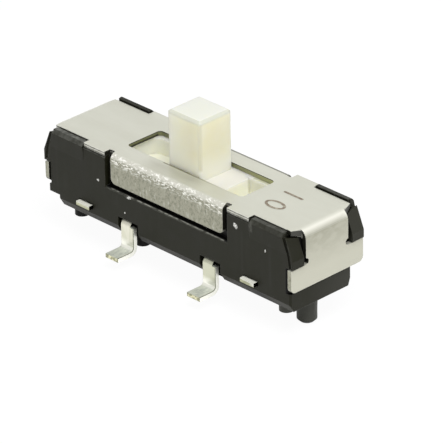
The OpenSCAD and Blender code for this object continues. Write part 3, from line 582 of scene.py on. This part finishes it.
def terminalStub(tree, place, clouds, up, s):
    toRight = along(tree, place, "X", *s["rightFade"])
    # painted shade low on a stub, mottled toward the right
    mottle = multiply(tree, spread(tree, clouds, *s["mottle"]), toRight)
    stub = blendColours(tree, along(tree, place, "Z", *s["stubRise"]), s["stubLow"], s["stub"])
    stub = blendColours(tree, mottle, stub, s["stubLow"])
    # painted highlight along the top and at the right of a stub
    rise = along(tree, place, "Z", *s["stubRightRise"])
    bright = multiply(tree, along(tree, place, "X", *s["stubRight"]), rise)
    bright = larger(tree, bright, along(tree, place, "Z", *s["stubTop"]), up)
    return blendColours(tree, bright, stub, s["stubHighlight"])


def makeTerminal(s):
    mat, tree, shader, place = startMaterial("silverPlate", {})
    bevel, edge = softEdges(tree, s["edge"])
    clouds = noise(tree, place, **s["clouds"])
    up = facing(tree, "Z", 0.7, 0.98)
    across = facing(tree, "|X", 0.8, 0.95)
    base, sideFace = terminalBlade(tree, place, up, s)
    base = blendColours(tree, across, base, sideFace)
    stub = terminalStub(tree, place, clouds, up, s)
    parts = split(tree, place)
    isStub = ramp(tree, unsigned(tree, parts, "X"), *s["stubFrom"])
    # painted shade on the sheared ends of the stubs
    base = blendColours(tree, isStub, base, blendColours(tree, across, stub, s["cut"]))
    isTip = multiply(tree, facing(tree, "|Y", 0.8, 0.95), ramp(tree, parts, *s["tipFrom"], "Y"))
    tip = blendColours(tree, patches(tree, place, **s["tipPatches"]), s["tipDark"], s["tip"])
    base = blendColours(tree, isTip, base, tip)
    paint = blendColours(tree, multiply(tree, edge, facing(tree, "|Y", 0.5, 0.9)), base, s["seam"])
    coat(tree, shader, paint, spread(tree, clouds, *s["roughness"]))
    plated = multiply(tree, spread(tree, up, *s["metal"]), inverse(tree, isStub))
    metal = larger(tree, plated, multiply(tree, isStub, across))
    join(tree, metal, shader, 0, "Metallic")
    bump(tree, shader, noise(tree, place, **s["grain"]), s["grainHeight"], s["grainDepth"], bevel)
    return mat


wiperFinish = {"colour": (0.72, 0.55, 0.25), "dull": (0.50, 0.36, 0.15), "metal": 0.8}
springFinish = {"colour": (0.52, 0.52, 0.50), "dull": (0.36, 0.36, 0.34), "metal": 0.9}
rolledStrip = {
    "streaks": {"scale": 6.0, "detail": 4.0, "rough": 0.6, "stretch": (0.3, 2.0, 2.0)},
    "dulled": (0.35, 0.7), "roughness": (0.25, 0.45), "height": 0.3, "depth": 0.003 * mm,
}


def makeSpringMetal(name, s, strip):
    mat, tree, shader, place = startMaterial(name, {"Metallic": s["metal"]})
    streaks = noise(tree, place, **strip["streaks"])
    paint = blendColours(tree, ramp(tree, streaks, *strip["dulled"]), s["colour"], s["dull"])
    coat(tree, shader, paint, spread(tree, streaks, *strip["roughness"]))
    bump(tree, shader, streaks, strip["height"], strip["depth"])
    return mat


finishes = {
    "housing": makeHousing(housingFinish),
    "cover": makeCover(coverFinish),
    "slider": makeSlider(sliderFinish),
    "terminal": makeTerminal(terminalFinish),
    "wiper": makeSpringMetal("contactBrass", wiperFinish, rolledStrip),
    "spring": makeSpringMetal("springSteel", springFinish, rolledStrip),
}
for node in nodes.values():
    for part in node.material_slots:
        part.material = finishes[part.material.name.split(".")[0]]
print("materials made:", len(finishes))


def newPiece(name, shape, mat, body):
    mesh = bpy.data.meshes.new(name)
    shape.to_mesh(mesh)
    shape.free()
    mesh.materials.append(mat)
    piece = bpy.data.objects.new(name, mesh)
    bpy.context.scene.collection.objects.link(piece)
    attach(piece, body)


inkFinish = {
    "colour": (0.20, 0.155, 0.11), "thin": (0.42, 0.385, 0.30), "roughness": 0.6,
    "worn": {"scale": 6.0, "detail": 4.0, "start": 0.42, "full": 0.66}, "height": 0.2, "depth": 0.002 * mm,
}


def makeInk(s):
    mat, tree, shader, place = startMaterial("brownInk", {"Roughness": s["roughness"]})
    worn = patches(tree, place, **s["worn"])
    coat(tree, shader, blendColours(tree, worn, s["colour"], s["thin"]))
    bump(tree, shader, worn, s["height"], s["depth"])
    return mat


# a plain ring and bar, printed on the cover beside the slot
markSet = {
    "ringCentre": (3.98, -0.40), "ringSize": (0.86, 0.52), "line": 0.105, "ringSteps": 40,
    "barCentre": (3.96, 0.48), "barSize": (0.90, 0.10), "endSteps": 8,
    "height": 0.004,
}


def makeRing(s, z, ink):
    shape = bmesh.new()
    count = s["ringSteps"]
    middle = s["ringCentre"]
    outer, inner = [], []
    for step in range(count):
        turn = 2 * math.pi * step / count
        for rim, less in ((outer, 0.0), (inner, s["line"])):
            x = middle[0] + (s["ringSize"][0] / 2 - less) * math.cos(turn)
            y = middle[1] + (s["ringSize"][1] / 2 - less) * math.sin(turn)
            rim.append(shape.verts.new((x * mm, y * mm, z)))
    for step in range(count):
        after = (step + 1) % count
        shape.faces.new((inner[step], outer[step], outer[after], inner[after]))
    newPiece("markRing", shape, ink, "base")


def makeBar(s, z, ink):
    shape = bmesh.new()
    middle = s["barCentre"]
    length, width = s["barSize"]
    rim = []
    for side, start in ((1, -0.5), (-1, 0.5)):  # round at both ends
        for step in range(s["endSteps"]):
            turn = math.pi * (step / (s["endSteps"] - 1) + start)
            x = middle[0] + side * (length - width) / 2 + width / 2 * math.cos(turn)
            y = middle[1] + width / 2 * math.sin(turn)
            rim.append(shape.verts.new((x * mm, y * mm, z)))
    shape.faces.new(rim)
    newPiece("markBar", shape, ink, "base")


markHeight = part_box("cover")[1][2] + markSet["height"] * mm
markInk = makeInk(inkFinish)
makeRing(markSet, markHeight, markInk)
makeBar(markSet, markHeight, markInk)
print("mark printed")

# light flecks on the near side of the housing: x, z, size, stretch, turn
fleckSet = {
    "places": ((-3.33, 2.30, 0.05, 1.3, 20), (-2.02, 1.51, 0.035, 1.2, 60), (-1.80, 2.15, 0.06, 1.8, 15),
               (3.37, 2.97, 0.085, 1.35, -40), (4.76, 2.53, 0.04, 1.5, 80)),
    "rimAt": -1.671, "peakAt": -1.685,  # along Y, just off the side face
    "sides": 9, "least": 0.7, "vary": 0.5, "seed": 3,  # uneven outlines
    "colour": (0.95, 0.95, 0.90), "dark": (0.32, 0.32, 0.29), "roughness": 0.55,
    "patches": {"scale": 18.0, "start": 0.4, "full": 0.6},
}


def makeFlecks(s):
    mat, tree, shader, place = startMaterial("paleFleck", {"Roughness": s["roughness"]})
    coat(tree, shader, blendColours(tree, patches(tree, place, **s["patches"]), s["dark"], s["colour"]))
    rng = random.Random(s["seed"])
    for count, (x, z, size, stretch, turn) in enumerate(s["places"]):
        shape = bmesh.new()
        rim = []
        for step in range(s["sides"]):
            angle = 2 * math.pi * step / s["sides"]
            reach = size * (s["least"] + s["vary"] * rng.random())
            flat = Vector((reach * stretch * math.cos(angle), reach * math.sin(angle)))
            flat.rotate(Matrix.Rotation(math.radians(turn), 2))
            rim.append(shape.verts.new(((x + flat.x) * mm, s["rimAt"] * mm, (z + flat.y) * mm)))
        peak = shape.verts.new((x * mm, s["peakAt"] * mm, z * mm))
        for step in range(s["sides"]):
            shape.faces.new((rim[step], rim[(step + 1) % s["sides"]], peak))
        newPiece("fleck%d" % (count + 1), shape, mat, "base")


makeFlecks(fleckSet)
print("flecks placed")


def seenRays(tree):
    # 1 for rays that show a thing, straight, mirrored or through something clear; 0 for its light on others
    path = addNode(tree, "ShaderNodeLightPath")
    seen, seenOut = path, "Is Camera Ray"
    for ray in ("Is Glossy Ray", "Is Transmission Ray"):
        either = addNode(tree, "ShaderNodeMath", operation="MAXIMUM")
        join(tree, seen, either, seenOut)
        join(tree, path, either, ray, 1)
        seen, seenOut = either, 0
    return path, seen


floorSet = {"height": -0.455 * mm, "reach": 400 * mm, "white": 0.82, "seenWhite": 0.07, "glow": 0.95}


def makeFloor(s):
    mesh = bpy.data.meshes.new("floor")
    shape = bmesh.new()
    bmesh.ops.create_grid(shape, x_segments=1, y_segments=1, size=s["reach"])
    bmesh.ops.translate(shape, verts=shape.verts, vec=(0, 0, s["height"]))
    shape.to_mesh(mesh)
    shape.free()
    floor = bpy.data.objects.new("floor", mesh)
    bpy.context.scene.collection.objects.link(floor)
    mat = bpy.data.materials.new("paleFloor")
    tree = emptyTree(mat)
    out = addNode(tree, "ShaderNodeOutputMaterial")
    matt = addNode(tree, "ShaderNodeBsdfDiffuse")
    glow = addNode(tree, "ShaderNodeEmission", {"Color": (1, 1, 1, 1)})
    both = addNode(tree, "ShaderNodeAddShader")
    path, seen = seenRays(tree)
    join(tree, spread(tree, seen, 0.0, s["glow"]), glow, 0, "Strength")
    shade = spread(tree, path, s["white"], s["seenWhite"], outName="Is Camera Ray")  # a faint shadow
    join(tree, shade, matt, 0, "Color")
    join(tree, matt, both, 0, 0)
    join(tree, glow, both, 0, 1)
    join(tree, both, out)
    mesh.materials.append(mat)


makeFloor(floorSet)
print("floor laid")

worldSet = {"seen": 1.0, "fill": 0.45}  # white behind the switch, softer as light


def makeWorld(s):
    world = bpy.data.worlds.new("paleRoom")
    bpy.context.scene.world = world
    tree = emptyTree(world)
    out = addNode(tree, "ShaderNodeOutputWorld")
    back = addNode(tree, "ShaderNodeBackground", {"Color": (1, 1, 1, 1)})
    seen = seenRays(tree)[1]
    join(tree, spread(tree, seen, s["fill"], s["seen"]), back, 0, "Strength")
    join(tree, back, out)


makeWorld(worldSet)

lightSet = {"from": (0.43, -0.19, 0.88), "far": 120 * mm, "size": 70 * mm, "level": 0.68}


def makeLight(s):
    lamp = bpy.data.lights.new("key", "AREA")
    lamp.shape = "DISK"
    lamp.size = s["size"]
    lamp.energy = s["level"] * math.pi * math.pi * s["far"] ** 2  # level is the light on a facing surface
    light = bpy.data.objects.new("key", lamp)
    bpy.context.scene.collection.objects.link(light)
    towards = Vector(s["from"]).normalized()
    light.location = towards * s["far"]
    light.rotation_euler = towards.to_track_quat("Z", "Y").to_euler()


makeLight(lightSet)
print("world and light placed")

cameraSet = {
    "azimuth": 46.258, "elevation": 27.561, "roll": -1.131,
    "across": 0.659 * mm, "up": 0.586 * mm, "base": 0.6 * mm, "distance": 154.037 * mm,
    "lens": 368.06, "sensor": 36.0, "clip": (0.01, 10.0),
}


def makeCamera(s):
    turn, lift, roll = (math.radians(s[k]) for k in ("azimuth", "elevation", "roll"))
    back = Vector((math.sin(turn) * math.cos(lift), -math.cos(turn) * math.cos(lift), math.sin(lift)))
    level = Vector((math.cos(turn), math.sin(turn), 0))
    above = back.cross(level)
    right = math.cos(roll) * level + math.sin(roll) * above
    up = math.cos(roll) * above - math.sin(roll) * level
    place = right * s["across"] + up * s["up"] + back * s["distance"] + Vector((0, 0, s["base"]))
    lens = bpy.data.cameras.new("camera")
    lens.lens = s["lens"]
    lens.sensor_width = s["sensor"]
    lens.sensor_fit = "HORIZONTAL"
    lens.clip_start, lens.clip_end = s["clip"]
    camera = bpy.data.objects.new("camera", lens)
    bpy.context.scene.collection.objects.link(camera)
    camera.matrix_world = Matrix.Translation(place) @ Matrix((right, up, back)).transposed().to_4x4()
    bpy.context.scene.camera = camera


makeCamera(cameraSet)
bpy.context.scene.view_settings.view_transform = "Standard"
print("camera placed")
